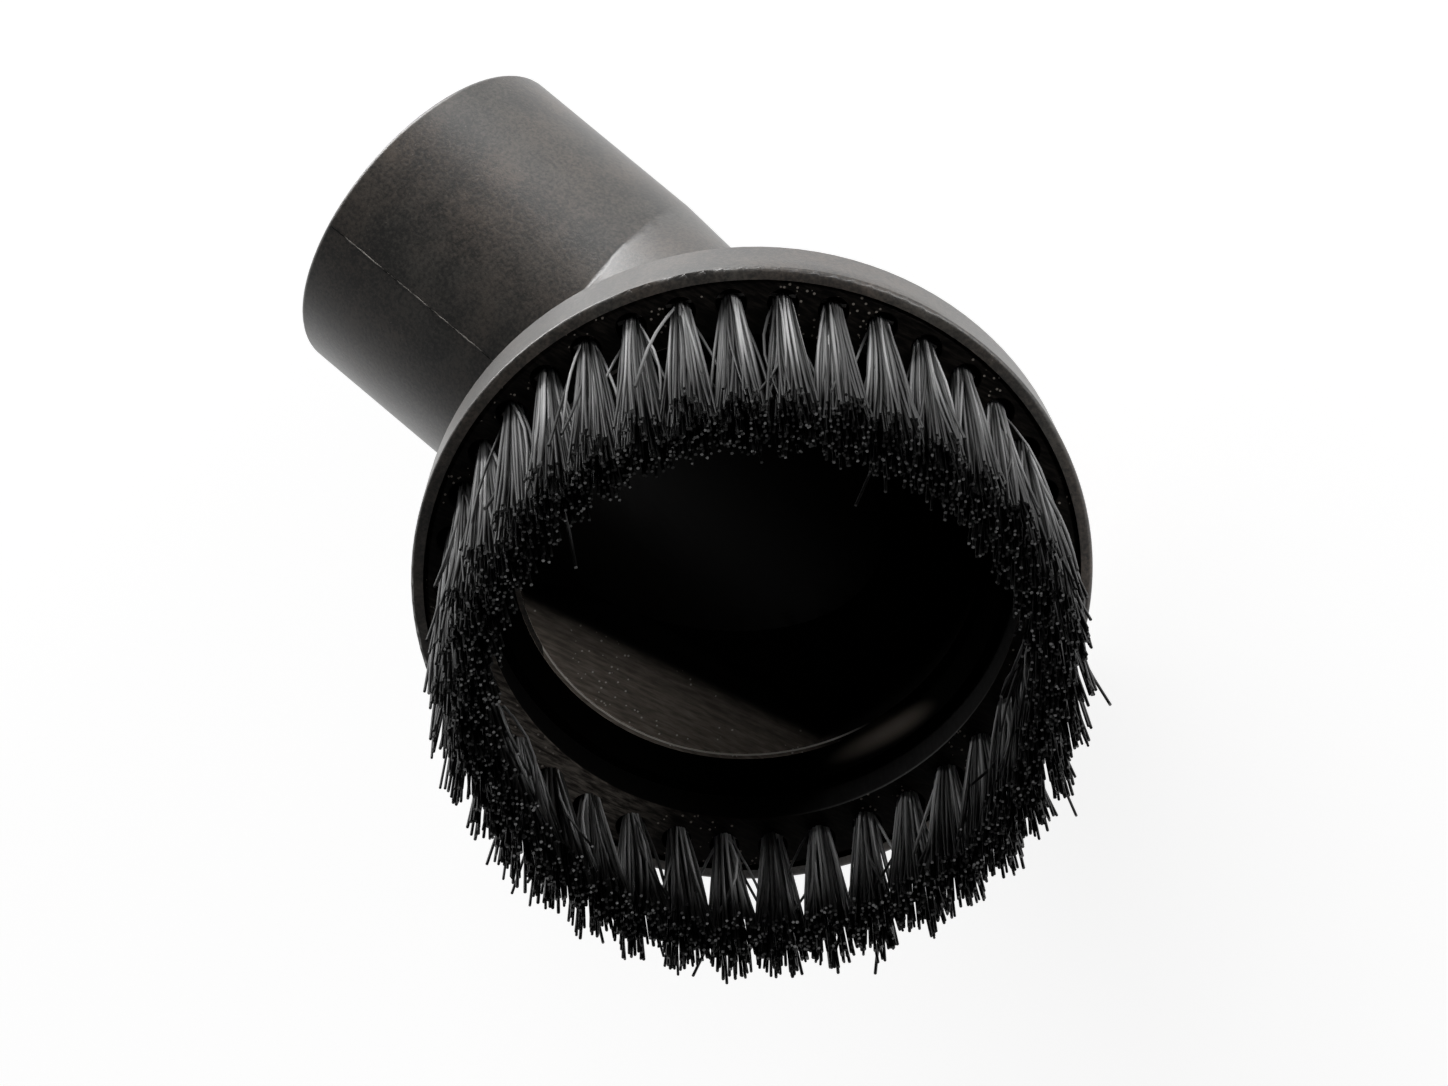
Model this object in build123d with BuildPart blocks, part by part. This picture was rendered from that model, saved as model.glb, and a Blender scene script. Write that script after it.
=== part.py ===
from build123d import *
from math import atan2, cos, degrees, pi, radians, sin, tan
import os

# Vacuum dusting brush, in millimetres, +Z up, lying on its back as it comes to rest.
# The head frame has its origin at the centre of the lip. Its x points to the side that
# the tube leans to, and its z points out along the bristles.

# Rim of the head
lip_radius = 33.0
rim_height = 6.8
rim_taper = 0.6
rim_wall = 1.2
rim_edge_round = 0.4

# Bristle ring, a separate moulding seated behind the lip
ring_recess = 0.3
ring_thickness = 4.7
ring_fit_gap = 0.15
ring_width = 5.45
ring_edge_chamfer = 0.35

# Bell behind the ring
bell_step = 4.9
bell_dome_height = 13.0
bell_wall = 2.2
ledge_width = 6.6
shoulder_width = 10.0
shoulder_height = 3.0
shoulder_edge_width = 0.5
floor_recess = 0.35
passage_width = 29.3
passage_round = 2.5

# Tube and its neck
tube_angle = 52.6
tube_cross_depth = 24.1
tube_length = 46.4
tube_wall = 2.4
tube_draft = 0.25
socket_bore_radius = 16.0
socket_stop = 3.8
tube_end_round = 0.6
socket_chamfer = 0.8
crease_distance = 22.6
crease_tilt = 12.5
neck_shift = 2.5
neck_inset = 0.5
neck_narrowing = 3.0
neck_bore_shift = 1.6
neck_bore_inset = 0.2
neck_bore_narrowing = 0.45
bore_overlap = 0.5

# Tufts, one node each
tuft_count = 38
tuft_inset = 3.65
tuft_hole_radius = 1.5
tuft_hole_floor = 0.7
tuft_root_gap = 0.1
tuft_tip_height = 22.5
tuft_tip_inset = 1.85
tuft_tip_radial = 3.7
tuft_tip_gap = 0.64

# Staple that holds the fold of each tuft in its hole
anchor_end_gap = 0.15
anchor_height = 1.2
anchor_thickness = 0.35
anchor_fold = 0.8
anchor_gap = 0.05

# Radii and depths that follow: the ring and its seat from the lip
rim_back_radius = lip_radius - rim_taper
seat_radius = lip_radius - rim_wall
ring_radius = seat_radius - ring_fit_gap
ring_bore_radius = ring_radius - ring_width
ring_face = -ring_recess
ledge_level = ring_face - ring_thickness

# The bell and its throat
bell_radius = rim_back_radius - bell_step
ledge_bore_radius = seat_radius - ledge_width
throat_radius = lip_radius - shoulder_width
throat_depth = shoulder_height - ledge_level
floor_depth = throat_depth + floor_recess
dome_depth = rim_height + bell_dome_height - bell_wall
passage_side = passage_width / 2

# The neck and the tube
tube_radius = socket_bore_radius + tube_wall
tube_neck_radius = tube_radius - tube_draft
socket_depth = tube_length - crease_distance - socket_stop
neck_lean_radius = bell_radius - neck_shift - neck_inset
neck_side_radius = neck_lean_radius - neck_narrowing
neck_bore_lean_radius = throat_radius - neck_bore_shift - neck_bore_inset
neck_bore_side_radius = passage_side - neck_bore_narrowing

# The tufts and their staples
tuft_circle_radius = lip_radius - tuft_inset
tuft_hole_depth = ring_thickness - tuft_hole_floor
tuft_root_radius = tuft_hole_radius - tuft_root_gap
tuft_tip_circle_radius = tuft_circle_radius - tuft_tip_inset
tuft_tip_tangential = (2 * pi * tuft_tip_circle_radius / tuft_count - tuft_tip_gap) / 2
anchor_length = 2 * (tuft_hole_radius - anchor_end_gap)

# Two points of the side view that touch the table: the back edge of the rim, and the
# back of the neck where the tube begins.
gamma = radians(tube_angle)
crease_back_distance = crease_distance + tube_neck_radius * tan(radians(crease_tilt))
crease_back_lean = crease_back_distance * sin(gamma) - tube_neck_radius * cos(gamma)
crease_back_height = -tube_cross_depth - crease_back_distance * cos(gamma) - tube_neck_radius * sin(gamma)
lay_rise = -rim_height - crease_back_height
lay_run = crease_back_lean + rim_back_radius
lay = atan2(lay_rise, lay_run)

# The lip centre's height above the table, and its place along X that centres the part
lip_height = rim_back_radius * sin(lay) + rim_height * cos(lay)
tip_reach = tuft_tip_circle_radius + tuft_tip_radial
x_low = -tip_reach * cos(lay) - tuft_tip_height * sin(lay)
end_lean = tube_length * sin(gamma)
end_height = -tube_cross_depth - tube_length * cos(gamma)
x_high = end_lean * cos(lay) - end_height * sin(lay) + tube_radius * abs(cos(lay + gamma))
lip_x = -(x_low + x_high) / 2

lean_direction = Vector(cos(lay), 0, sin(lay))
bristle_direction = Vector(-sin(lay), 0, cos(lay))
head = Plane(origin=(lip_x, 0, lip_height), x_dir=lean_direction, z_dir=bristle_direction)
head_axis = Axis(head.origin, head.z_dir)


def placed(base, shift=(0, 0, 0), turn=(0, 0, 0)):
    """Plane moved, then turned about its own axes, in the frame of another plane."""
    return Plane(base.location * Location(shift, turn))


# The side view is the plane of symmetry, and the end view looks along the lean. The back
# frame is the head frame turned over, with z going back into the bell, and the tube frame
# has z along the tube.
side_view = placed(head, turn=(90, 0, 0))
end_view = placed(head, turn=(90, 90, 0))
back = placed(head, turn=(180, 0, 0))
tube_start = placed(back, shift=(0, 0, tube_cross_depth), turn=(0, tube_angle, 0))
tube_axis = Axis(tube_start.origin, tube_start.z_dir)
tube_end = tube_start.offset(tube_length)
socket_floor = tube_end.offset(-socket_depth)
crease = placed(tube_start, shift=(0, 0, crease_distance), turn=(0, crease_tilt, 0))
crease_stretch = 1 / cos(radians(crease_tilt))

# Hollow behind the floor of the bell: a dome cut off at both sides, as wide as the passage
# into the neck, with the two edges of the floor rounded over into it
with BuildPart() as passage:
    with BuildSketch(side_view):
        with BuildLine():
            Line((0, -floor_depth), (throat_radius, -floor_depth))
            EllipticalCenterArc(
                (0, -floor_depth), throat_radius, dome_depth - floor_depth, start_angle=270, arc_size=90
            )
            Line((0, -dome_depth), (0, -floor_depth))
        make_face()
    revolve(axis=head_axis)
    with BuildSketch(end_view):
        with BuildLine():
            Line((0, -floor_depth), (passage_side + passage_round, -floor_depth))
            RadiusArc(
                (passage_side + passage_round, -floor_depth),
                (passage_side, -floor_depth - passage_round),
                -passage_round,
            )
            Line((passage_side, -floor_depth - passage_round), (passage_side, -dome_depth))
            Line((passage_side, -dome_depth), (0, -dome_depth))
            mirror(about=Plane.YZ)
        make_face()
    extrude(amount=throat_radius, both=True, mode=Mode.INTERSECT)

# Housing: rim, bell, neck and socket tube moulded as one piece, and open from end to end
with BuildPart() as housing:
    with BuildSketch(side_view):
        with BuildLine():
            Polyline((0, 0), (lip_radius, 0), (rim_back_radius, -rim_height), (bell_radius, -rim_height))
            EllipticalCenterArc(
                (0, -rim_height), bell_radius, bell_dome_height, start_angle=270, arc_size=90
            )
            Line((0, -rim_height - bell_dome_height), (0, 0))
        make_face()
    revolve(axis=head_axis)
    rim_edge = housing.edges().filter_by(GeomType.CIRCLE).sort_by(head_axis)[-1]
    fillet(rim_edge, rim_edge_round)
    with BuildSketch(placed(back, shift=(neck_shift, 0, rim_height))):
        Ellipse(neck_lean_radius, neck_side_radius)
    with BuildSketch(crease):
        Ellipse(tube_neck_radius * crease_stretch, tube_neck_radius)
    with BuildSketch(tube_end):
        Circle(tube_radius)
    loft(ruled=True)
    end_edge = housing.edges().sort_by(tube_axis)[-1]
    fillet(end_edge, tube_end_round)
    with BuildSketch(side_view):
        with BuildLine():
            Polyline(
                (0, 0),
                (seat_radius, 0),
                (seat_radius, ledge_level),
                (ledge_bore_radius, ledge_level),
                (throat_radius + shoulder_edge_width, -throat_depth),
                (throat_radius, -throat_depth),
                (throat_radius, -floor_depth),
                (0, -floor_depth),
                close=True,
            )
        make_face()
    revolve(axis=head_axis, mode=Mode.SUBTRACT)
    add(passage.part, mode=Mode.SUBTRACT)
    with BuildSketch(placed(back, shift=(neck_bore_shift, 0, throat_depth))):
        Ellipse(neck_bore_lean_radius, neck_bore_side_radius)
    with BuildSketch(crease):
        Ellipse(socket_bore_radius * crease_stretch, socket_bore_radius)
    with BuildSketch(socket_floor.offset(bore_overlap)):
        Circle(socket_bore_radius)
    loft(ruled=True, mode=Mode.SUBTRACT)
    with BuildSketch(socket_floor):
        Circle(socket_bore_radius)
    extrude(amount=socket_depth, mode=Mode.SUBTRACT)
    end_face = housing.faces().filter_by(GeomType.PLANE).sort_by(tube_axis)[-1]
    chamfer(end_face.inner_wires()[0].edges(), socket_chamfer)
housing.part.label = "housing"

# Ring with a blind hole for each tuft, flat on the ledge inside the rim
with BuildPart() as bristle_ring:
    with BuildSketch(side_view):
        with BuildLine():
            Polyline(
                (ring_bore_radius, ledge_level),
                (ring_radius, ledge_level),
                (ring_radius, ring_face - ring_edge_chamfer),
                (ring_radius - ring_edge_chamfer, ring_face),
                (ring_bore_radius, ring_face),
                close=True,
            )
        make_face()
    revolve(axis=head_axis)
    with BuildSketch(head.offset(ring_face)):
        with PolarLocations(tuft_circle_radius, tuft_count):
            Circle(tuft_hole_radius)
    extrude(amount=-tuft_hole_depth, mode=Mode.SUBTRACT)
bristle_ring.part.label = "bristle_ring"

hole_floor = ring_face - tuft_hole_depth


def tuft_station(index, radius, height):
    """Plane across the head axis at one tuft, with x pointing away from the axis."""
    turned = placed(head, turn=(0, 0, index * 360 / tuft_count))
    return placed(turned, shift=(radius, 0, height))


def anchor_place(index):
    """Middle of the staple of one tuft, just above the fold."""
    middle = hole_floor + anchor_fold + anchor_height / 2
    return tuft_station(index, tuft_circle_radius, middle)


def make_tuft(index):
    """Bundle of bristles, round in its hole and fanned out to the cut tips."""
    with BuildPart() as tuft:
        for height in (hole_floor, ring_face):
            with BuildSketch(tuft_station(index, tuft_circle_radius, height)):
                Circle(tuft_root_radius)
        with BuildSketch(tuft_station(index, tuft_tip_circle_radius, tuft_tip_height)):
            Ellipse(tuft_tip_radial, tuft_tip_tangential)
        loft(ruled=True)
        with Locations(anchor_place(index)):
            Box(
                anchor_thickness + 2 * anchor_gap,
                2 * tuft_hole_radius,
                anchor_height + 2 * anchor_gap,
                mode=Mode.SUBTRACT,
            )
    return tuft.part


tufts = []
for tuft_index in range(tuft_count):
    bundle = make_tuft(tuft_index)
    bundle.label = f"tuft_{tuft_index + 1:02d}"
    tufts.append(bundle)

# Flat staples pressed through the folds at the bottom of the holes
with BuildPart() as tuft_anchors:
    for tuft_index in range(tuft_count):
        with Locations(anchor_place(tuft_index)):
            Box(anchor_thickness, anchor_length, anchor_height)
tuft_anchors.part.label = "tuft_anchors"

os.makedirs("parts", exist_ok=True)
for piece in (housing.part, bristle_ring.part, tuft_anchors.part, *tufts):
    export_step(piece, f"parts/{piece.label}.step")

print(f"lay {degrees(lay):.3f} lip height {lip_height:.3f} lip x {lip_x:.3f}")
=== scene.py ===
import math
import random

import bpy
from mathutils import Matrix, Vector


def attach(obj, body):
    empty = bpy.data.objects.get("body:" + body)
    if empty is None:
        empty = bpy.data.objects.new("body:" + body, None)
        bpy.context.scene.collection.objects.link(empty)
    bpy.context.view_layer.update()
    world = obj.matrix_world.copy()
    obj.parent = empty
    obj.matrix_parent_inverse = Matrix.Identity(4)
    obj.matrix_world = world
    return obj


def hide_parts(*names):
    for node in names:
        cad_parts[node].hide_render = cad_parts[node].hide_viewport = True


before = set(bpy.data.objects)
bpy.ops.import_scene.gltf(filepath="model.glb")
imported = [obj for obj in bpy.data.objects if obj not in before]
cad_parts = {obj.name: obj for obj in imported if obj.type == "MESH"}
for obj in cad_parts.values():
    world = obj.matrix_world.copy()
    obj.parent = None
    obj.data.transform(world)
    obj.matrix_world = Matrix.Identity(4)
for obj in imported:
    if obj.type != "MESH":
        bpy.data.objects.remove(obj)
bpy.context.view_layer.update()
MM = 0.001

# Housing: the round head, the bell, the neck and the socket tube, moulded in one piece of
# black polypropylene. The outside has a fine spark-eroded grain, and the inside, which the
# polished core left, is smoother and is painted nearly black as painted shade. The brush lies
# on its back, so the head's axis leans over.
LAY = math.radians(48.394)
LIP_CENTRE = Vector((-14.769, 0, 28.742)) * MM
LEAN = Vector((math.cos(LAY), 0, math.sin(LAY)))
BRISTLE_WARD = Vector((-math.sin(LAY), 0, math.cos(LAY)))
SIDE = Vector((0, 1, 0))


def head_point(lean, side, bristle_ward):
    """Point given in millimetres from the centre of the lip, along the head's own axes."""
    return LIP_CENTRE + (LEAN * lean + SIDE * side + BRISTLE_WARD * bristle_ward) * MM


def make_dust_group():
    """Small pale specks of dust, scattered where a slow pattern lets them lie."""
    group = bpy.data.node_groups.new("dust", "ShaderNodeTree")
    group.interface.new_socket("Vector", in_out="INPUT", socket_type="NodeSocketVector")
    group.interface.new_socket("Size", in_out="INPUT", socket_type="NodeSocketFloat")
    group.interface.new_socket("Spread", in_out="INPUT", socket_type="NodeSocketFloat")
    group.interface.new_socket("Mask", in_out="OUTPUT", socket_type="NodeSocketFloat")
    entry = group.nodes.new("NodeGroupInput")
    leave = group.nodes.new("NodeGroupOutput")
    cells = group.nodes.new("ShaderNodeTexVoronoi")
    cells.inputs["Scale"].default_value = 1500
    near = group.nodes.new("ShaderNodeMath")
    near.operation = "LESS_THAN"
    patches = group.nodes.new("ShaderNodeTexNoise")
    patches.inputs["Scale"].default_value = 160
    patches.inputs["Detail"].default_value = 3
    reach = group.nodes.new("ShaderNodeMath")
    reach.operation = "LESS_THAN"
    keep = group.nodes.new("ShaderNodeMath")
    keep.operation = "MULTIPLY"
    link = group.links.new
    link(entry.outputs["Vector"], cells.inputs["Vector"])
    link(cells.outputs["Distance"], near.inputs[0])
    link(entry.outputs["Size"], near.inputs[1])
    link(entry.outputs["Vector"], patches.inputs["Vector"])
    link(patches.outputs["Fac"], reach.inputs[0])
    link(entry.outputs["Spread"], reach.inputs[1])
    link(near.outputs["Value"], keep.inputs[0])
    link(reach.outputs["Value"], keep.inputs[1])
    link(keep.outputs["Value"], leave.inputs["Mask"])
    return group


dust_group = make_dust_group()


def make_grain_group():
    """Fine grain of the mould's face, patches of wear, and where the plastic is greyer."""
    group = bpy.data.node_groups.new("moulded_grain", "ShaderNodeTree")
    group.interface.new_socket("Vector", in_out="INPUT", socket_type="NodeSocketVector")
    group.interface.new_socket("Grain", in_out="OUTPUT", socket_type="NodeSocketFloat")
    group.interface.new_socket("Patches", in_out="OUTPUT", socket_type="NodeSocketFloat")
    group.interface.new_socket("Greyness", in_out="OUTPUT", socket_type="NodeSocketFloat")
    entry = group.nodes.new("NodeGroupInput")
    leave = group.nodes.new("NodeGroupOutput")
    grain = group.nodes.new("ShaderNodeTexNoise")
    grain.inputs["Scale"].default_value = 2600
    grain.inputs["Detail"].default_value = 4
    grain.inputs["Roughness"].default_value = 0.7
    patches = group.nodes.new("ShaderNodeTexNoise")
    patches.inputs["Scale"].default_value = 170
    patches.inputs["Detail"].default_value = 9
    patches.inputs["Roughness"].default_value = 0.76
    slow = group.nodes.new("ShaderNodeTexNoise")
    slow.inputs["Scale"].default_value = 75
    slow.inputs["Detail"].default_value = 5
    slow.inputs["Roughness"].default_value = 0.6
    greyed = group.nodes.new("ShaderNodeMapRange")
    greyed.inputs["From Min"].default_value = 0.36
    greyed.inputs["From Max"].default_value = 0.64
    link = group.links.new
    link(entry.outputs["Vector"], grain.inputs["Vector"])
    link(entry.outputs["Vector"], patches.inputs["Vector"])
    link(entry.outputs["Vector"], slow.inputs["Vector"])
    link(slow.outputs["Fac"], greyed.inputs["Value"])
    link(grain.outputs["Fac"], leave.inputs["Grain"])
    link(patches.outputs["Fac"], leave.inputs["Patches"])
    link(greyed.outputs["Result"], leave.inputs["Greyness"])
    return group


grain_group = make_grain_group()


def make_housing_plastic():
    """Black moulded plastic, a little brown with age, with a fine grain."""
    finish = bpy.data.materials.new("housing_plastic")
    finish.use_nodes = True
    nodes = finish.node_tree.nodes
    link = finish.node_tree.links.new
    shader = nodes["Principled BSDF"]
    shader.inputs["Sheen Weight"].default_value = 0.03
    shader.inputs["Sheen Roughness"].default_value = 0.4
    shader.inputs["Specular IOR Level"].default_value = 0.6
    shader.inputs["Coat Weight"].default_value = 0.5
    shader.inputs["Coat Roughness"].default_value = 0.35
    place = nodes.new("ShaderNodeTexCoord")
    face = nodes.new("ShaderNodeGroup")
    face.node_tree = grain_group
    link(place.outputs["Object"], face.inputs["Vector"])
    blend = nodes.new("ShaderNodeMath")
    blend.operation = "MULTIPLY_ADD"
    blend.inputs[1].default_value = 0.45
    share = nodes.new("ShaderNodeMath")
    share.operation = "MULTIPLY"
    share.inputs[1].default_value = 0.55
    link(face.outputs["Grain"], share.inputs[0])
    link(face.outputs["Patches"], blend.inputs[0])
    link(share.outputs["Value"], blend.inputs[2])
    brown_tone = nodes.new("ShaderNodeValToRGB")
    brown_tone.color_ramp.elements[0].position = 0.43
    brown_tone.color_ramp.elements[0].color = (0.011, 0.0085, 0.0065, 1)
    brown_tone.color_ramp.elements[1].position = 0.58
    brown_tone.color_ramp.elements[1].color = (0.076, 0.058, 0.045, 1)
    link(blend.outputs["Value"], brown_tone.inputs["Fac"])
    grey_tone = nodes.new("ShaderNodeValToRGB")
    grey_tone.color_ramp.elements[0].position = 0.43
    grey_tone.color_ramp.elements[0].color = (0.008, 0.0074, 0.0062, 1)
    grey_tone.color_ramp.elements[1].position = 0.58
    grey_tone.color_ramp.elements[1].color = (0.06, 0.054, 0.046, 1)
    link(blend.outputs["Value"], grey_tone.inputs["Fac"])
    aged = nodes.new("ShaderNodeMix")
    aged.data_type = "RGBA"
    link(face.outputs["Greyness"], aged.inputs["Factor"])
    link(brown_tone.outputs["Color"], aged.inputs["A"])
    link(grey_tone.outputs["Color"], aged.inputs["B"])
    dust = nodes.new("ShaderNodeGroup")
    dust.node_tree = dust_group
    dust.inputs["Size"].default_value = 0.08
    dust.inputs["Spread"].default_value = 0.4
    link(place.outputs["Object"], dust.inputs["Vector"])
    dusty = nodes.new("ShaderNodeMix")
    dusty.data_type = "RGBA"
    dusty.inputs["B"].default_value = (0.16, 0.145, 0.13, 1)
    link(dust.outputs["Mask"], dusty.inputs["Factor"])
    link(aged.outputs["Result"], dusty.inputs["A"])
    link(dusty.outputs["Result"], shader.inputs["Base Color"])
    uneven = nodes.new("ShaderNodeMapRange")
    uneven.inputs["To Min"].default_value = 0.36
    uneven.inputs["To Max"].default_value = 0.56
    link(face.outputs["Patches"], uneven.inputs["Value"])
    link(uneven.outputs["Result"], shader.inputs["Roughness"])
    bump = nodes.new("ShaderNodeBump")
    bump.inputs["Strength"].default_value = 0.6
    bump.inputs["Distance"].default_value = 0.07 * MM
    link(face.outputs["Grain"], bump.inputs["Height"])
    link(bump.outputs["Normal"], shader.inputs["Normal"])
    return finish


def add_ramp(nodes, link, value, low, high):
    """Mask that rises smoothly from 0 to 1 as a value goes from low to high."""
    rise = nodes.new("ShaderNodeMapRange")
    rise.interpolation_type = "SMOOTHSTEP"
    rise.inputs["From Min"].default_value = low
    rise.inputs["From Max"].default_value = high
    link(value, rise.inputs["Value"])
    return rise.outputs["Result"]


def add_math(nodes, link, operation, first, second):
    """Math node fed by one value and by another value or a number."""
    step = nodes.new("ShaderNodeMath")
    step.operation = operation
    link(first, step.inputs[0])
    if isinstance(second, (int, float)):
        step.inputs[1].default_value = second
    else:
        link(second, step.inputs[1])
    return step.outputs["Value"]


def add_head_place(nodes, link):
    """The place on the object along the head's own axes, in metres."""
    place = nodes.new("ShaderNodeTexCoord")
    head = nodes.new("ShaderNodeMapping")
    head.vector_type = "TEXTURE"
    head.inputs["Location"].default_value = LIP_CENTRE
    head.inputs["Rotation"].default_value = (0, -LAY, 0)
    link(place.outputs["Object"], head.inputs["Vector"])
    return place, head


# Where the dusty film with its painted light, the painted edge highlight and the painted
# reflection lie, in millimetres along the head's axes.
LIT_FILM_RISE = (-9.3, -8.36)
LIT_FILM_TOP = -7.96
LIT_FILM_SIDE = (13.6, 19.5)
STEP_LEVEL = -8
STEP_REACH = 0.06
STEP_LINE_RADIUS = 23.16
STEP_LINE_SIDE = (11, 16)
PAINTED_REFLECTION_CENTRE = Vector((-21, 10.8, -6))
PAINTED_REFLECTION_REACH = Vector((7, 1.6, 2.4))
PAINTED_REFLECTION_TURN = math.radians(60)


def make_core_plastic():
    """The smoother inside of the bell, neck and tube, painted near black as shade, with a dusty
    film on its floor that is partly painted light, a painted highlight and a painted reflection.
    """
    finish = bpy.data.materials.new("shaded_core_plastic")
    finish.use_nodes = True
    nodes = finish.node_tree.nodes
    link = finish.node_tree.links.new
    shader = nodes["Principled BSDF"]
    shader.inputs["Specular IOR Level"].default_value = 0.01
    place, head = add_head_place(nodes, link)
    axes = nodes.new("ShaderNodeSeparateXYZ")
    link(head.outputs["Vector"], axes.inputs["Vector"])
    streak_place = nodes.new("ShaderNodeMapping")
    streak_place.inputs["Rotation"].default_value = (0, 0, 0.12)
    streak_place.inputs["Scale"].default_value = (1, 7, 1)
    link(head.outputs["Vector"], streak_place.inputs["Vector"])
    streaks = nodes.new("ShaderNodeTexNoise")
    streaks.inputs["Scale"].default_value = 380
    streaks.inputs["Detail"].default_value = 6
    streaks.inputs["Roughness"].default_value = 0.65
    link(streak_place.outputs["Vector"], streaks.inputs["Vector"])
    streaked = nodes.new("ShaderNodeMapRange")
    streaked.inputs["From Min"].default_value = 0.38
    streaked.inputs["From Max"].default_value = 0.66
    streaked.inputs["To Min"].default_value = 0.5
    link(streaks.outputs["Fac"], streaked.inputs["Value"])
    # Dusty film on the floor, streaked: partly real dust, partly painted light where the floor
    # is lit.
    above = add_ramp(nodes, link, axes.outputs["Z"], LIT_FILM_RISE[0] * MM, LIT_FILM_RISE[1] * MM)
    below = add_math(nodes, link, "LESS_THAN", axes.outputs["Z"], LIT_FILM_TOP * MM)
    on_floor = add_math(nodes, link, "MULTIPLY", above, below)
    aside = add_ramp(nodes, link, axes.outputs["Y"], LIT_FILM_SIDE[0] * MM, LIT_FILM_SIDE[1] * MM)
    lit_film_place = add_math(nodes, link, "MULTIPLY", on_floor, aside)
    streaked_lit_film = add_math(nodes, link, "MULTIPLY", lit_film_place, streaked.outputs["Result"])
    # Painted reflection: a faint pale band on the throat's wall where the tube's bright open end
    # is mirrored.
    painted_reflection_place = nodes.new("ShaderNodeMapping")
    painted_reflection_place.vector_type = "TEXTURE"
    painted_reflection_place.inputs["Location"].default_value = PAINTED_REFLECTION_CENTRE * MM
    painted_reflection_place.inputs["Rotation"].default_value = (0, 0, PAINTED_REFLECTION_TURN)
    painted_reflection_place.inputs["Scale"].default_value = PAINTED_REFLECTION_REACH * MM
    link(head.outputs["Vector"], painted_reflection_place.inputs["Vector"])
    painted_reflection_gap = nodes.new("ShaderNodeVectorMath")
    painted_reflection_gap.operation = "LENGTH"
    link(painted_reflection_place.outputs["Vector"], painted_reflection_gap.inputs[0])
    painted_reflection = add_ramp(nodes, link, painted_reflection_gap.outputs["Value"], 1, 0.1)
    faint_painted_reflection = add_math(nodes, link, "MULTIPLY", painted_reflection, 0.7)
    lit_film_or_reflection = add_math(nodes, link, "MAXIMUM", streaked_lit_film, faint_painted_reflection)
    # Painted shade: the passage's faces are painted nearly black, much darker than the plastic
    # outside.
    film = nodes.new("ShaderNodeMix")
    film.data_type = "RGBA"
    film.inputs["A"].default_value = (0.0007, 0.0006, 0.0005, 1)
    film.inputs["B"].default_value = (0.36, 0.31, 0.265, 1)
    link(lit_film_or_reflection, film.inputs["Factor"])
    # Painted highlight: a pale line along the step's edge, where light catches the rounded edge.
    level_step = nodes.new("ShaderNodeMath")
    level_step.operation = "COMPARE"
    level_step.inputs[1].default_value = STEP_LEVEL * MM
    level_step.inputs[2].default_value = STEP_REACH * MM
    link(axes.outputs["Z"], level_step.inputs[0])
    flat_place = nodes.new("ShaderNodeVectorMath")
    flat_place.operation = "MULTIPLY"
    flat_place.inputs[1].default_value = (1, 1, 0)
    link(head.outputs["Vector"], flat_place.inputs[0])
    radius = nodes.new("ShaderNodeVectorMath")
    radius.operation = "LENGTH"
    link(flat_place.outputs["Vector"], radius.inputs[0])
    within = add_math(nodes, link, "LESS_THAN", radius.outputs["Value"], STEP_LINE_RADIUS * MM)
    step_line = add_math(nodes, link, "MULTIPLY", level_step.outputs["Value"], within)
    near, far = STEP_LINE_SIDE
    edge_highlight_side = add_ramp(nodes, link, axes.outputs["Y"], near * MM, far * MM)
    edge_highlight_mask = add_math(nodes, link, "MULTIPLY", step_line, edge_highlight_side)
    painted_edge_highlight = nodes.new("ShaderNodeMix")
    painted_edge_highlight.data_type = "RGBA"
    painted_edge_highlight.inputs["B"].default_value = (0.9, 0.85, 0.78, 1)
    link(edge_highlight_mask, painted_edge_highlight.inputs["Factor"])
    link(film.outputs["Result"], painted_edge_highlight.inputs["A"])
    dust = nodes.new("ShaderNodeGroup")
    dust.node_tree = dust_group
    dust.inputs["Size"].default_value = 0.16
    dust.inputs["Spread"].default_value = 0.47
    link(place.outputs["Object"], dust.inputs["Vector"])
    lying = add_math(nodes, link, "MULTIPLY", dust.outputs["Mask"], lit_film_place)
    speckled = nodes.new("ShaderNodeMix")
    speckled.data_type = "RGBA"
    speckled.inputs["B"].default_value = (0.8, 0.76, 0.7, 1)
    link(lying, speckled.inputs["Factor"])
    link(painted_edge_highlight.outputs["Result"], speckled.inputs["A"])
    link(speckled.outputs["Result"], shader.inputs["Base Color"])
    gloss = nodes.new("ShaderNodeMapRange")
    gloss.inputs["To Min"].default_value = 0.4
    gloss.inputs["To Max"].default_value = 0.6
    link(streaks.outputs["Fac"], gloss.inputs["Value"])
    link(gloss.outputs["Result"], shader.inputs["Roughness"])
    bump = nodes.new("ShaderNodeBump")
    bump.inputs["Strength"].default_value = 0.3
    bump.inputs["Distance"].default_value = 0.05 * MM
    link(streaks.outputs["Fac"], bump.inputs["Height"])
    link(bump.outputs["Normal"], shader.inputs["Normal"])
    return finish


MERGE_DISTANCE = 0.002
SHARP_ANGLE = math.radians(50)
housing_plastic = make_housing_plastic()
shell = bpy.data.objects.new("housing_shell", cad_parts["housing"].data.copy())
bpy.context.collection.objects.link(shell)
bpy.ops.object.select_all(action="DESELECT")
shell.select_set(True)
bpy.context.view_layer.objects.active = shell
bpy.ops.mesh.customdata_custom_splitnormals_clear()
bpy.ops.object.mode_set(mode="EDIT")
bpy.ops.mesh.select_all(action="SELECT")
bpy.ops.mesh.remove_doubles(threshold=MERGE_DISTANCE * MM)
bpy.ops.object.mode_set(mode="OBJECT")
bpy.ops.object.shade_smooth_by_angle(angle=SHARP_ANGLE)
bpy.ops.object.modifier_add(type="WEIGHTED_NORMAL")
shell.modifiers[0].keep_sharp = True
bpy.ops.object.modifier_apply(modifier=shell.modifiers[0].name)

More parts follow.
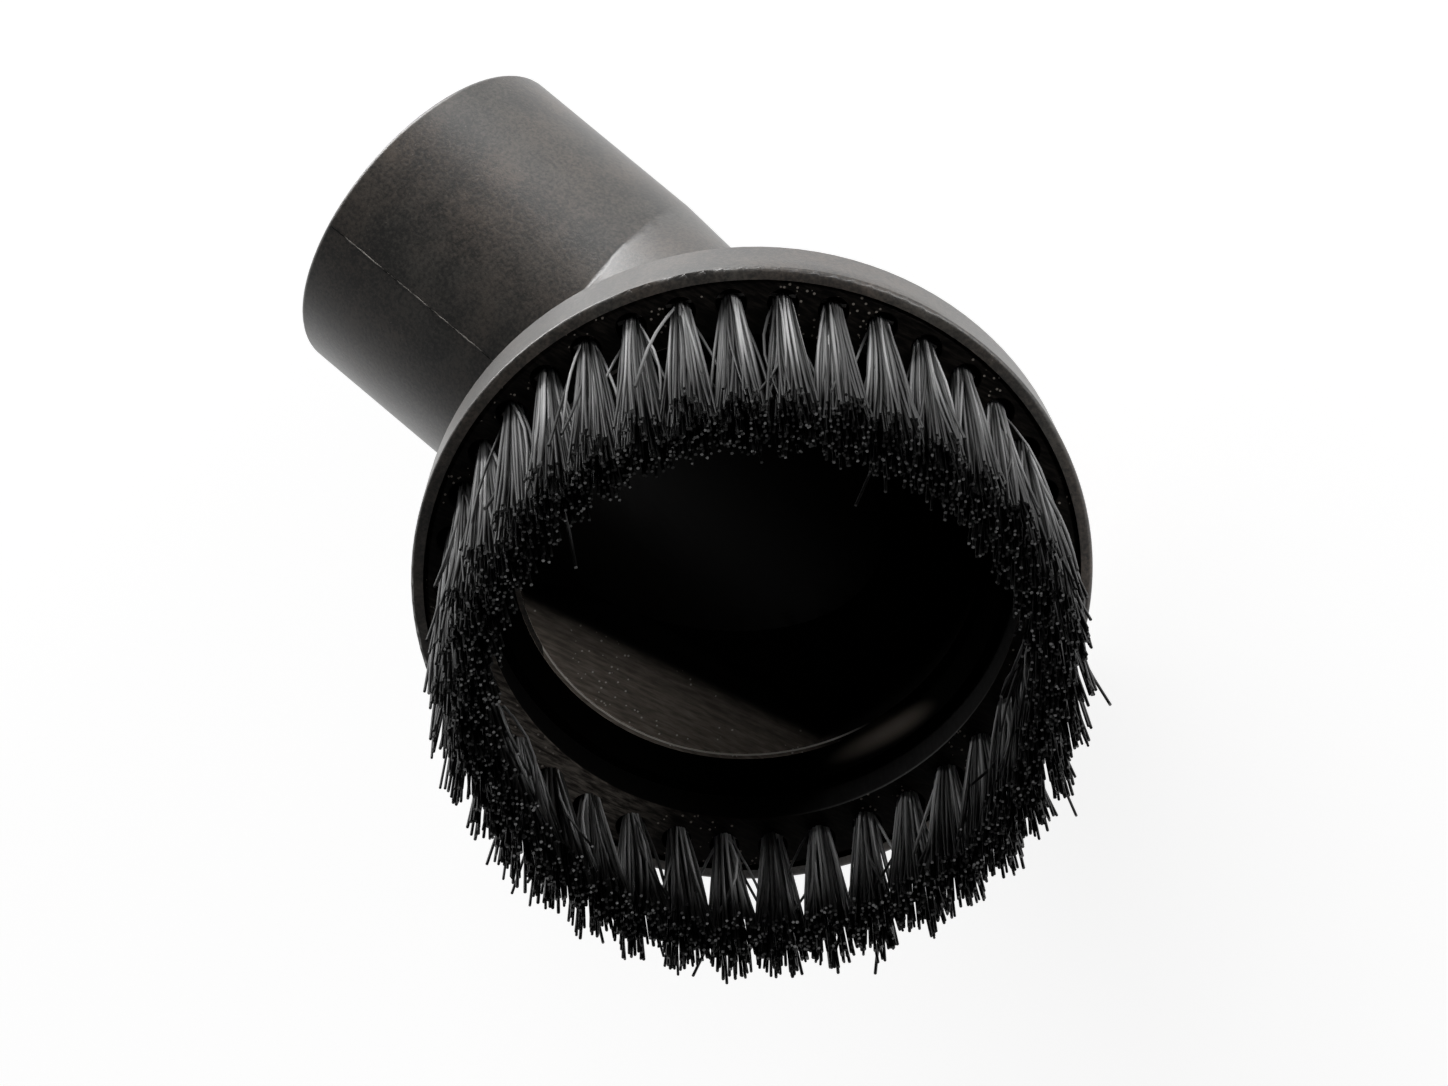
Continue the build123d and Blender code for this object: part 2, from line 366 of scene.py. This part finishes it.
# The faces of the passage through the housing have their own finish, since the core left
# them smoother; it is painted nearly black as painted shade. Each looks at the passage's
# middle line, a little nearer to the mouth.
MIDDLE_LINE = [
    head_point(0, 0, 8),
    head_point(0, 0, -12),
    head_point(18, 0, -37.8),
    head_point(38, 0, -53.1),
]
TOWARDS_MOUTH = 5 * MM
CORE_STARTS = -0.45 * MM


def looks_in(face):
    """True where a face of the housing looks into its passage."""
    best = None
    for near, far in zip(MIDDLE_LINE, MIDDLE_LINE[1:]):
        run = far - near
        share = min(1, max(0, (face.center - near).dot(run) / run.length_squared))
        foot = near + run * share
        if best is None or (face.center - foot).length < (face.center - best[0]).length:
            best = (foot, run.normalized())
    return (best[0] - best[1] * TOWARDS_MOUTH - face.center).dot(face.normal) > 0


shell.data.materials.clear()
shell.data.materials.append(housing_plastic)
shell.data.materials.append(make_core_plastic())
for face in shell.data.polygons:
    behind_lip = (face.center - LIP_CENTRE).dot(BRISTLE_WARD) < CORE_STARTS
    face.material_index = int(behind_lip and looks_in(face))
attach(shell, "root")
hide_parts("housing")

# Parting lines: the thin flash where the two halves of the housing's mould met. One runs
# along the bristle side of the tube and neck, and one along the back.
TUBE_ANGLE = math.radians(52.6)
TUBE_CROSS_DEPTH = 24.1
TUBE_END_RADIUS = 18.4
TUBE_NECK_RADIUS = 18.15
TUBE_END = 45.7
FRONT_NECK_END = 18.58
BACK_NECK_END = 27.6
FLASH_RADIUS = 0.075
FLASH_STEPS = 79
FLASH_WANDER = 0.03
random.seed(11)


def tube_line_point(distance, radius, facing):
    """Point in the side view, beside the tube's axis at a distance from where it starts."""
    offset = facing * radius
    lean = distance * math.sin(TUBE_ANGLE) + offset * math.cos(TUBE_ANGLE)
    height = -TUBE_CROSS_DEPTH - distance * math.cos(TUBE_ANGLE) + offset * math.sin(TUBE_ANGLE)
    return head_point(lean, 0, height)


def make_flash_plastic():
    """The same plastic, painted dark along the line as painted shade, with pale specks."""
    finish = bpy.data.materials.new("flash_plastic")
    finish.use_nodes = True
    nodes = finish.node_tree.nodes
    link = finish.node_tree.links.new
    shader = nodes["Principled BSDF"]
    shader.inputs["Roughness"].default_value = 0.6
    shader.inputs["Specular IOR Level"].default_value = 0.2
    place = nodes.new("ShaderNodeTexCoord")
    shade_and_specks = nodes.new("ShaderNodeTexNoise")
    shade_and_specks.inputs["Scale"].default_value = 420
    shade_and_specks.inputs["Detail"].default_value = 4
    link(place.outputs["Object"], shade_and_specks.inputs["Vector"])
    # Painted shade: the line is mostly near black, darker than the plastic around it, with pale
    # specks.
    tone = nodes.new("ShaderNodeValToRGB")
    tone.color_ramp.elements[0].position = 0.44
    tone.color_ramp.elements[0].color = (0.002, 0.0018, 0.0015, 1)
    tone.color_ramp.elements[1].position = 0.58
    tone.color_ramp.elements[1].color = (0.3, 0.28, 0.26, 1)
    link(shade_and_specks.outputs["Fac"], tone.inputs["Fac"])
    link(tone.outputs["Color"], shader.inputs["Base Color"])
    return finish


flash_plastic = make_flash_plastic()
flash_lines = {
    "parting_line_front": (1, FRONT_NECK_END),
    "parting_line_back": (-1, BACK_NECK_END),
}
for flash_name, (facing, neck_end) in flash_lines.items():
    flash_start = tube_line_point(TUBE_END, TUBE_END_RADIUS, facing)
    flash_end = tube_line_point(neck_end, TUBE_NECK_RADIUS, facing)
    flash_curve = bpy.data.curves.new(flash_name, "CURVE")
    flash_curve.dimensions = "3D"
    flash_curve.bevel_depth = FLASH_RADIUS * MM
    flash_curve.bevel_resolution = 1
    flash_curve.use_fill_caps = True
    flash_spline = flash_curve.splines.new("POLY")
    flash_spline.points.add(FLASH_STEPS)
    for step, point in enumerate(flash_spline.points):
        place = flash_start.lerp(flash_end, step / FLASH_STEPS)
        wander = SIDE * random.uniform(-FLASH_WANDER, FLASH_WANDER) * MM
        point.co = (*(place + wander), 1)
        point.radius = random.uniform(0.7, 1.25)
    flash = bpy.data.objects.new(flash_name, flash_curve)
    bpy.context.collection.objects.link(flash)
    bpy.ops.object.select_all(action="DESELECT")
    flash.select_set(True)
    bpy.context.view_layer.objects.active = flash
    bpy.ops.object.convert(target="MESH")
    flash.data.materials.append(flash_plastic)
    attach(flash, "root")

# Bristle ring: a separate flat moulding of smooth black plastic, pressed in behind the lip,
# with one blind hole for each tuft. Its face is scratched, paler over a part of its width on
# one side, partly from wear and partly as painted light, and dusty. Its bore and holes are
# clean and dull, and painted nearly black as painted shade.
RING_TOP = (-0.8, -0.5)
WORN_AND_LIT_SIDE = (14, 23)
WORN_AND_LIT_LEAN = (-9, 3)


def make_ring_plastic():
    """Smooth black plastic, scratched and dusty on its face, paler on one side from wear and
    painted light, its bore and holes painted near black as shade.
    """
    finish = bpy.data.materials.new("ring_plastic")
    finish.use_nodes = True
    nodes = finish.node_tree.nodes
    link = finish.node_tree.links.new
    shader = nodes["Principled BSDF"]
    shader.inputs["Specular IOR Level"].default_value = 0.08
    place, head = add_head_place(nodes, link)
    stretch = nodes.new("ShaderNodeMapping")
    stretch.inputs["Rotation"].default_value = (0, 0, 0.5)
    stretch.inputs["Scale"].default_value = (1, 6, 1)
    link(head.outputs["Vector"], stretch.inputs["Vector"])
    scratch = nodes.new("ShaderNodeTexNoise")
    scratch.inputs["Scale"].default_value = 520
    scratch.inputs["Detail"].default_value = 7
    scratch.inputs["Roughness"].default_value = 0.68
    link(stretch.outputs["Vector"], scratch.inputs["Vector"])
    apart = nodes.new("ShaderNodeSeparateXYZ")
    link(head.outputs["Vector"], apart.inputs["Vector"])
    top_face = add_ramp(nodes, link, apart.outputs["Z"], RING_TOP[0] * MM, RING_TOP[1] * MM)
    tone = nodes.new("ShaderNodeValToRGB")
    tone.color_ramp.elements[0].position = 0.45
    tone.color_ramp.elements[0].color = (0.0018, 0.0016, 0.0014, 1)
    tone.color_ramp.elements[1].position = 0.75
    tone.color_ramp.elements[1].color = (0.018, 0.015, 0.013, 1)
    link(scratch.outputs["Fac"], tone.inputs["Fac"])
    scuff_and_light = nodes.new("ShaderNodeValToRGB")
    scuff_and_light.color_ramp.elements[0].position = 0.42
    scuff_and_light.color_ramp.elements[0].color = (0.02, 0.017, 0.015, 1)
    scuff_and_light.color_ramp.elements[1].position = 0.62
    scuff_and_light.color_ramp.elements[1].color = (0.13, 0.115, 0.1, 1)
    link(scratch.outputs["Fac"], scuff_and_light.inputs["Fac"])
    # Paler on one side: partly wear, partly painted light where light falls on that side of the
    # face.
    worn_and_lit_side = add_ramp(nodes, link, apart.outputs["Y"], WORN_AND_LIT_SIDE[0] * MM, WORN_AND_LIT_SIDE[1] * MM)
    worn_and_lit_lean = add_ramp(nodes, link, apart.outputs["X"], WORN_AND_LIT_LEAN[0] * MM, WORN_AND_LIT_LEAN[1] * MM)
    worn_and_lit_place = add_math(nodes, link, "MULTIPLY", worn_and_lit_side, worn_and_lit_lean)
    worn_and_lit = nodes.new("ShaderNodeMix")
    worn_and_lit.data_type = "RGBA"
    link(worn_and_lit_place, worn_and_lit.inputs["Factor"])
    link(tone.outputs["Color"], worn_and_lit.inputs["A"])
    link(scuff_and_light.outputs["Color"], worn_and_lit.inputs["B"])
    # Painted shade: below the face, the bore and holes are painted nearly black.
    face_over_shaded_bore = nodes.new("ShaderNodeMix")
    face_over_shaded_bore.data_type = "RGBA"
    face_over_shaded_bore.inputs["A"].default_value = (0.0008, 0.0007, 0.0006, 1)
    link(top_face, face_over_shaded_bore.inputs["Factor"])
    link(worn_and_lit.outputs["Result"], face_over_shaded_bore.inputs["B"])
    dust = nodes.new("ShaderNodeGroup")
    dust.node_tree = dust_group
    dust.inputs["Size"].default_value = 0.19
    dust.inputs["Spread"].default_value = 0.48
    link(place.outputs["Object"], dust.inputs["Vector"])
    on_face = add_math(nodes, link, "MULTIPLY", dust.outputs["Mask"], top_face)
    dusty = nodes.new("ShaderNodeMix")
    dusty.data_type = "RGBA"
    dusty.inputs["B"].default_value = (0.2, 0.18, 0.16, 1)
    link(on_face, dusty.inputs["Factor"])
    link(face_over_shaded_bore.outputs["Result"], dusty.inputs["A"])
    link(dusty.outputs["Result"], shader.inputs["Base Color"])
    gloss = nodes.new("ShaderNodeMapRange")
    gloss.inputs["To Min"].default_value = 0.25
    gloss.inputs["To Max"].default_value = 0.55
    link(scratch.outputs["Fac"], gloss.inputs["Value"])
    dull_bore = nodes.new("ShaderNodeMapRange")
    dull_bore.inputs["To Min"].default_value = 0.45
    dull_bore.inputs["To Max"].default_value = 0
    link(top_face, dull_bore.inputs["Value"])
    rough = add_math(nodes, link, "ADD", gloss.outputs["Result"], dull_bore.outputs["Result"])
    link(rough, shader.inputs["Roughness"])
    bump = nodes.new("ShaderNodeBump")
    bump.inputs["Strength"].default_value = 0.25
    bump.inputs["Distance"].default_value = 0.02 * MM
    link(scratch.outputs["Fac"], bump.inputs["Height"])
    link(bump.outputs["Normal"], shader.inputs["Normal"])
    return finish


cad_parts["bristle_ring"].data.materials.clear()
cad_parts["bristle_ring"].data.materials.append(make_ring_plastic())

# Staples: short lengths of flat steel strip, one pressed into each hole through the fold
# of its tuft. They lie deep in the holes, under the bristles.


def make_anchor_metal():
    """Rolled steel strip, a little dull, with fine lines from the rolls."""
    finish = bpy.data.materials.new("anchor_metal")
    finish.use_nodes = True
    nodes = finish.node_tree.nodes
    link = finish.node_tree.links.new
    shader = nodes["Principled BSDF"]
    shader.inputs["Metallic"].default_value = 1
    place = nodes.new("ShaderNodeTexCoord")
    rolled = nodes.new("ShaderNodeMapping")
    rolled.inputs["Scale"].default_value = (1, 1, 12)
    link(place.outputs["Object"], rolled.inputs["Vector"])
    lines = nodes.new("ShaderNodeTexNoise")
    lines.inputs["Scale"].default_value = 900
    link(rolled.outputs["Vector"], lines.inputs["Vector"])
    tone = nodes.new("ShaderNodeValToRGB")
    tone.color_ramp.elements[0].color = (0.3, 0.29, 0.28, 1)
    tone.color_ramp.elements[1].color = (0.55, 0.54, 0.52, 1)
    link(lines.outputs["Fac"], tone.inputs["Fac"])
    link(tone.outputs["Color"], shader.inputs["Base Color"])
    gloss = nodes.new("ShaderNodeMapRange")
    gloss.inputs["To Min"].default_value = 0.3
    gloss.inputs["To Max"].default_value = 0.5
    link(lines.outputs["Fac"], gloss.inputs["Value"])
    link(gloss.outputs["Result"], shader.inputs["Roughness"])
    return finish


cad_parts["tuft_anchors"].data.materials.clear()
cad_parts["tuft_anchors"].data.materials.append(make_anchor_metal())

# Tufts: bundles of black nylon bristles, each folded once, stapled in its hole and trimmed
# level. They leave the hole close together and fan out, lean in a little, and stick
# together in small clumps at the cut ends. A few stray out of line.
TUFT_COUNT = 38
TUFT_CIRCLE = 29.35
ROOT_DEPTH = -1.6
ROOT_RADIUS = 0.9
ROOT_INWARD = 0.45
TIP_HEIGHT = 22.4
TIP_CIRCLE = 27.4
TIP_RADIAL = 3.6
TIP_TANGENTIAL = 2.7
BRISTLE_RADIUS = 0.145
BRISTLES = 110
CLUMPS = 15
STEPS = 6
STRAY_SHARE = 0.07
STRAY_SHORTER = 2.5
SHADE_POWER = 1.5
END_SHADE = 0.55
TIP_SHADE_FROM = 7
TIP_SHADE_FULL = 21
GOLDEN_ANGLE = math.pi * (3 - math.sqrt(5))


def make_bristle_nylon():
    """Black nylon, each bristle a little different, painted darker towards the tips as shade,
    with paler cut ends.
    """
    finish = bpy.data.materials.new("bristle_nylon")
    finish.use_nodes = True
    nodes = finish.node_tree.nodes
    link = finish.node_tree.links.new
    shader = nodes["Principled BSDF"]
    shader.inputs["Specular IOR Level"].default_value = 0.22
    shade = nodes.new("ShaderNodeAttribute")
    shade.attribute_name = "shade"
    tone = nodes.new("ShaderNodeValToRGB")
    tone.color_ramp.elements[0].color = (0.004, 0.004, 0.004, 1)
    tone.color_ramp.elements[1].color = (0.42, 0.42, 0.42, 1)
    link(shade.outputs["Fac"], tone.inputs["Fac"])
    place = nodes.new("ShaderNodeTexCoord")
    along = nodes.new("ShaderNodeVectorMath")
    along.operation = "DOT_PRODUCT"
    along.inputs[1].default_value = BRISTLE_WARD
    link(place.outputs["Object"], along.inputs[0])
    lip_level = LIP_CENTRE.dot(BRISTLE_WARD)
    # Painted shade: the bristles' sides are painted darker towards the tips, where the bristles
    # shade one another.
    tip_shade_ramp = nodes.new("ShaderNodeMapRange")
    tip_shade_ramp.interpolation_type = "SMOOTHSTEP"
    tip_shade_ramp.inputs["From Min"].default_value = lip_level + TIP_SHADE_FROM * MM
    tip_shade_ramp.inputs["From Max"].default_value = lip_level + TIP_SHADE_FULL * MM
    link(along.outputs["Value"], tip_shade_ramp.inputs["Value"])
    tip_shaded_tone = nodes.new("ShaderNodeMix")
    tip_shaded_tone.data_type = "RGBA"
    tip_shaded_tone.inputs["B"].default_value = (0.004, 0.004, 0.004, 1)
    link(tip_shade_ramp.outputs["Result"], tip_shaded_tone.inputs["Factor"])
    link(tone.outputs["Color"], tip_shaded_tone.inputs["A"])
    cut_end = nodes.new("ShaderNodeAttribute")
    cut_end.attribute_name = "cut_end"
    ends = nodes.new("ShaderNodeMix")
    ends.data_type = "RGBA"
    link(cut_end.outputs["Fac"], ends.inputs["Factor"])
    link(tip_shaded_tone.outputs["Result"], ends.inputs["A"])
    link(tone.outputs["Color"], ends.inputs["B"])
    link(ends.outputs["Result"], shader.inputs["Base Color"])
    wear = nodes.new("ShaderNodeTexNoise")
    wear.inputs["Scale"].default_value = 700
    link(place.outputs["Object"], wear.inputs["Vector"])
    gloss = nodes.new("ShaderNodeMapRange")
    gloss.inputs["To Min"].default_value = 0.25
    gloss.inputs["To Max"].default_value = 0.55
    link(wear.outputs["Fac"], gloss.inputs["Value"])
    link(gloss.outputs["Result"], shader.inputs["Roughness"])
    return finish


bristle_nylon = make_bristle_nylon()
random.seed(38)


def disc_place(index, count):
    """One of a number of places spread evenly over a disc of radius 1."""
    reach = math.sqrt((index + 0.5) / count)
    turn = index * GOLDEN_ANGLE
    return Vector((reach * math.cos(turn), reach * math.sin(turn)))


for tuft_index in range(TUFT_COUNT):
    tuft_turn = 2 * math.pi * tuft_index / TUFT_COUNT
    clumps = []
    for clump_index in range(CLUMPS):
        clump_place = disc_place(clump_index, CLUMPS)
        clump_place += Vector((random.gauss(0, 0.1), random.gauss(0, 0.1)))
        clumps.append((clump_place, random.gauss(0, 0.35), random.uniform(0.1, 0.6)))
    tuft_curve = bpy.data.curves.new(f"bristles_{tuft_index + 1:02d}", "CURVE")
    tuft_curve.dimensions = "3D"
    tuft_curve.bevel_depth = BRISTLE_RADIUS * MM
    tuft_curve.bevel_resolution = 1
    tuft_curve.use_fill_caps = True
    shades = []
    for bristle_index in range(BRISTLES):
        root = disc_place(bristle_index, BRISTLES)
        nearest = min(clumps, key=lambda clump: (clump[0] - root).length)
        clump_place, clump_length, hold = nearest
        tip = root.lerp(clump_place, hold * random.uniform(0.5, 1))
        tip += Vector((random.gauss(0, 0.06), random.gauss(0, 0.06)))
        length = TIP_HEIGHT + clump_length + random.gauss(0, 0.22)
        bow = Vector((random.gauss(0, 0.22), random.gauss(0, 0.22)))
        if random.random() < STRAY_SHARE:
            tip += Vector((random.gauss(0, 0.35), random.gauss(0, 0.7)))
            bow = Vector((random.gauss(0, 0.7), random.gauss(0, 0.7)))
            length -= random.uniform(0, STRAY_SHORTER)
        spline = tuft_curve.splines.new("POLY")
        spline.points.add(STEPS - 1)
        for step, point in enumerate(spline.points):
            share = step / (STEPS - 1)
            height = ROOT_DEPTH + (length - ROOT_DEPTH) * share
            spread = 0.8 * share + 0.2 * share * share
            belly = math.sin(math.pi * share)
            held = 1 - spread
            out = TUFT_CIRCLE - ROOT_INWARD + (TIP_CIRCLE + ROOT_INWARD - TUFT_CIRCLE) * share
            out += root.x * ROOT_RADIUS * held + tip.x * TIP_RADIAL * spread + bow.x * belly
            along = root.y * ROOT_RADIUS * held + tip.y * TIP_TANGENTIAL * spread + bow.y * belly
            lean = out * math.cos(tuft_turn) - along * math.sin(tuft_turn)
            side = out * math.sin(tuft_turn) + along * math.cos(tuft_turn)
            point.co = (*head_point(lean, side, height), 1)
        thickness = random.uniform(0.85, 1.15)
        for point in spline.points:
            point.radius = thickness
        shades.append(random.random() ** SHADE_POWER)
    tuft = bpy.data.objects.new(f"bristles_{tuft_index + 1:02d}", tuft_curve)
    bpy.context.collection.objects.link(tuft)
    bpy.ops.object.select_all(action="DESELECT")
    tuft.select_set(True)
    bpy.context.view_layer.objects.active = tuft
    bpy.ops.object.convert(target="MESH")
    bundle = tuft.data
    cap_faces = [face for face in bundle.polygons if len(face.vertices) == 3]
    wall_faces = [face for face in bundle.polygons if len(face.vertices) == 4]
    caps_each = len(cap_faces) // BRISTLES
    walls_each = len(wall_faces) // BRISTLES
    shade = bundle.attributes.new("shade", "FLOAT", "CORNER")
    cut_end = bundle.attributes.new("cut_end", "FLOAT", "CORNER")
    for number, face in enumerate(cap_faces):
        tone = shades[BRISTLES - 1 - number // caps_each]
        for corner in face.loop_indices:
            shade.data[corner].value = END_SHADE * tone ** 2
            cut_end.data[corner].value = 1
    for number, face in enumerate(wall_faces):
        tone = shades[number // walls_each]
        for corner in face.loop_indices:
            shade.data[corner].value = tone
    bundle.materials.append(bristle_nylon)
    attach(tuft, "root")
    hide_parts(f"tuft_{tuft_index + 1:02d}")

# Floor: a wide white sheet that the brush lies on. Half of what the camera and reflections
# see of it is plain white, and half is the lit sheet, so that the brush's shadow stays.
SHEET_SIZE = 6
SHEET_WHITE = 0.5
SHEET_GLOW = 1.68
bpy.ops.object.select_all(action="DESELECT")
bpy.ops.mesh.primitive_plane_add(size=SHEET_SIZE, location=(0, 0, 0))
floor = bpy.context.object
floor.name = "floor"
floor_finish = bpy.data.materials.new("floor_sheet")
floor_finish.use_nodes = True
floor_nodes = floor_finish.node_tree.nodes
floor_link = floor_finish.node_tree.links.new
sheet = floor_nodes["Principled BSDF"]
sheet.inputs["Base Color"].default_value = (0.82, 0.82, 0.82, 1)
sheet.inputs["Roughness"].default_value = 0.9
sheet.inputs["Specular IOR Level"].default_value = 0.1
white = floor_nodes.new("ShaderNodeEmission")
white.inputs["Color"].default_value = (1, 1, 1, 1)
white.inputs["Strength"].default_value = SHEET_GLOW
sight_line = floor_nodes.new("ShaderNodeLightPath")
seen = floor_nodes.new("ShaderNodeMath")
seen.operation = "MAXIMUM"
mirrored = floor_nodes.new("ShaderNodeMath")
mirrored.operation = "MAXIMUM"
share_white = floor_nodes.new("ShaderNodeMath")
share_white.operation = "MULTIPLY"
share_white.inputs[1].default_value = SHEET_WHITE
both = floor_nodes.new("ShaderNodeMixShader")
floor_link(sight_line.outputs["Is Camera Ray"], seen.inputs[0])
floor_link(sight_line.outputs["Is Glossy Ray"], seen.inputs[1])
floor_link(seen.outputs["Value"], mirrored.inputs[0])
floor_link(sight_line.outputs["Is Transmission Ray"], mirrored.inputs[1])
floor_link(mirrored.outputs["Value"], share_white.inputs[0])
floor_link(share_white.outputs["Value"], both.inputs["Fac"])
floor_link(sheet.outputs["BSDF"], both.inputs[1])
floor_link(white.outputs["Emission"], both.inputs[2])
floor_link(both.outputs["Shader"], floor_nodes["Material Output"].inputs["Surface"])
floor.data.materials.append(floor_finish)

# Light: a wide soft box low beyond the tube's open end, a weaker one low at the camera's
# side, and a dim room that is brighter behind the head than in front of it. The camera
# sees the room white.
ROOM_BEHIND = 0.7
ROOM_IN_FRONT = 0.12
BOX_DISTANCE = 0.7
room = bpy.data.worlds.new("room")
room.use_nodes = True
room_nodes = room.node_tree.nodes
room_link = room.node_tree.links.new
dim = room_nodes["Background"]
dim.inputs["Color"].default_value = (1, 1, 1, 1)
aim_point = room_nodes.new("ShaderNodeTexCoord")
facing = room_nodes.new("ShaderNodeVectorMath")
facing.operation = "DOT_PRODUCT"
facing.inputs[1].default_value = BRISTLE_WARD
fall_off = room_nodes.new("ShaderNodeMapRange")
fall_off.interpolation_type = "SMOOTHSTEP"
fall_off.inputs["From Min"].default_value = -0.45
fall_off.inputs["From Max"].default_value = 0.3
fall_off.inputs["To Min"].default_value = ROOM_BEHIND
fall_off.inputs["To Max"].default_value = ROOM_IN_FRONT
room_link(aim_point.outputs["Generated"], facing.inputs[0])
room_link(facing.outputs["Value"], fall_off.inputs["Value"])
room_link(fall_off.outputs["Result"], dim.inputs["Strength"])
bright = room_nodes.new("ShaderNodeBackground")
bright.inputs["Color"].default_value = (1, 1, 1, 1)
bright.inputs["Strength"].default_value = 1
sight = room_nodes.new("ShaderNodeLightPath")
pick = room_nodes.new("ShaderNodeMixShader")
room_link(sight.outputs["Is Camera Ray"], pick.inputs["Fac"])
room_link(dim.outputs["Background"], pick.inputs[1])
room_link(bright.outputs["Background"], pick.inputs[2])
room_link(pick.outputs["Shader"], room_nodes["World Output"].inputs["Surface"])
bpy.context.scene.world = room


def hang_soft_box(name, direction, width, height, power):
    """Soft box that faces the middle of the brush, wide side level."""
    lamp_data = bpy.data.lights.new(name, "AREA")
    lamp_data.shape = "RECTANGLE"
    lamp_data.size = width
    lamp_data.size_y = height
    lamp_data.energy = power
    lamp = bpy.data.objects.new(name, lamp_data)
    aim = Vector(direction).normalized()
    lamp.location = Vector((0, 0, 0.03)) + aim * BOX_DISTANCE
    lamp.rotation_euler = (-aim).to_track_quat("-Z", "Y").to_euler()
    bpy.context.collection.objects.link(lamp)


hang_soft_box("key_box", (0.922, -0.38, 0.07), 0.8, 0.24, 7.5)
hang_soft_box("side_box", (-0.5, -0.864, 0.07), 0.5, 0.2, 3.3)

# Camera: a long lens that looks into the head, held on its side as in the photograph.
EYE = Vector((-216.54, -148.29, 341.35)) * MM
LOOK = Vector((0.5142, 0.3656, -0.7759))
CAMERA_ROLL = math.radians(-87.4484)
camera_data = bpy.data.cameras.new("camera")
camera_data.lens = 103.08
camera_data.sensor_width = 36
camera_data.clip_start = 0.01
camera = bpy.data.objects.new("camera", camera_data)
bpy.context.collection.objects.link(camera)
upright = LOOK.to_track_quat("-Z", "Y").to_matrix().to_4x4()
roll = Matrix.Rotation(CAMERA_ROLL, 4, "Z")
camera.matrix_world = Matrix.Translation(EYE) @ upright @ roll
bpy.context.scene.camera = camera
bpy.context.scene.view_settings.view_transform = "Standard"
